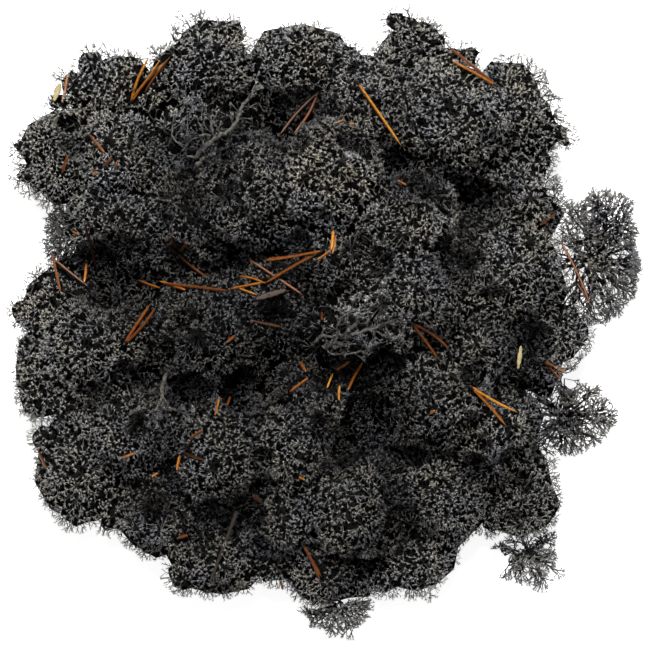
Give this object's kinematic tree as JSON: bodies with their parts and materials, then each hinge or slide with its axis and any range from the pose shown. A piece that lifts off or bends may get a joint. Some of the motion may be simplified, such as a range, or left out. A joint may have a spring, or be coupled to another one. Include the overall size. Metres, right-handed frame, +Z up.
{
  "type": "reindeer moss clump",
  "caption": "Low mound of dark dyed reindeer lichen tufts with dry pine needles and a twig caught among the branch tips.",
  "frame": {"origin": "middle of the clump's outline in plan, on the surface it lies on", "axes": "+Z up out of the surface, through the low mound; +X to the right and +Y away when the clump is looked at from above with its two small trailing tufts towards the viewer"},
  "size_m": [0.3588, 0.3554, 0.1202],
  "materials": {
    "lichen": "matte",
    "pine_needle": "satin",
    "twig": "matte"
  },
  "bodies": {
    "root": {"tuft_crown_north": "lichen", "tuft_crown_west": "lichen", "tuft_crown_east": "lichen", "tuft_crown_south": "lichen", "tuft_crown_saddle": "lichen", "tuft_open_middle": "lichen", "tuft_needle_hollow": "lichen", "tuft_north_west_dome": "lichen", "tuft_open_north_west": "lichen", "tuft_west_upper": "lichen", "tuft_west_shoulder": "lichen", "tuft_west_inner": "lichen", "tuft_middle_west": "lichen", "tuft_west_dome": "lichen", "tuft_south_west_shoulder": "lichen", "tuft_south_inner_west": "lichen", "tuft_south_inner": "lichen", "tuft_middle_south": "lichen", "tuft_south_dome": "lichen", "tuft_south_fold": "lichen", "tuft_east_inner": "lichen", "tuft_north_east_dome": "lichen", "tuft_north_inner": "lichen", "tuft_east_shoulder": "lichen", "tuft_east_middle": "lichen", "tuft_south_east_shoulder": "lichen", "tuft_south_east_inner": "lichen", "tuft_rim_north_west": "lichen", "tuft_rim_west_north": "lichen", "tuft_rim_west_notch": "lichen", "tuft_rim_west_upper": "lichen", "tuft_rim_west": "lichen", "tuft_rim_south_west": "lichen", "tuft_rim_south_west_low": "lichen", "tuft_rim_south_left": "lichen", "tuft_rim_south": "lichen", "tuft_rim_south_tip": "lichen", "tuft_rim_south_right": "lichen", "tuft_rim_sprig": "lichen", "tuft_rim_south_east": "lichen", "tuft_rim_east_low": "lichen", "tuft_rim_east": "lichen", "tuft_rim_east_lobe": "lichen", "tuft_rim_east_notch": "lichen", "tuft_rim_north_east": "lichen", "tuft_rim_north_right": "lichen", "tuft_rim_north": "lichen", "needles_north": "pine_needle", "needles_north_long": "pine_needle", "needles_north_east": "pine_needle", "needles_east_lobe": "pine_needle", "needles_east": "pine_needle", "needles_middle_east": "pine_needle", "needles_south": "pine_needle", "needles_north_west": "pine_needle", "needles_west_notch": "pine_needle", "needles_west": "pine_needle", "needles_middle_west": "pine_needle", "needles_middle": "pine_needle", "twig_south_west": "twig"}
  },
  "joints": []
}
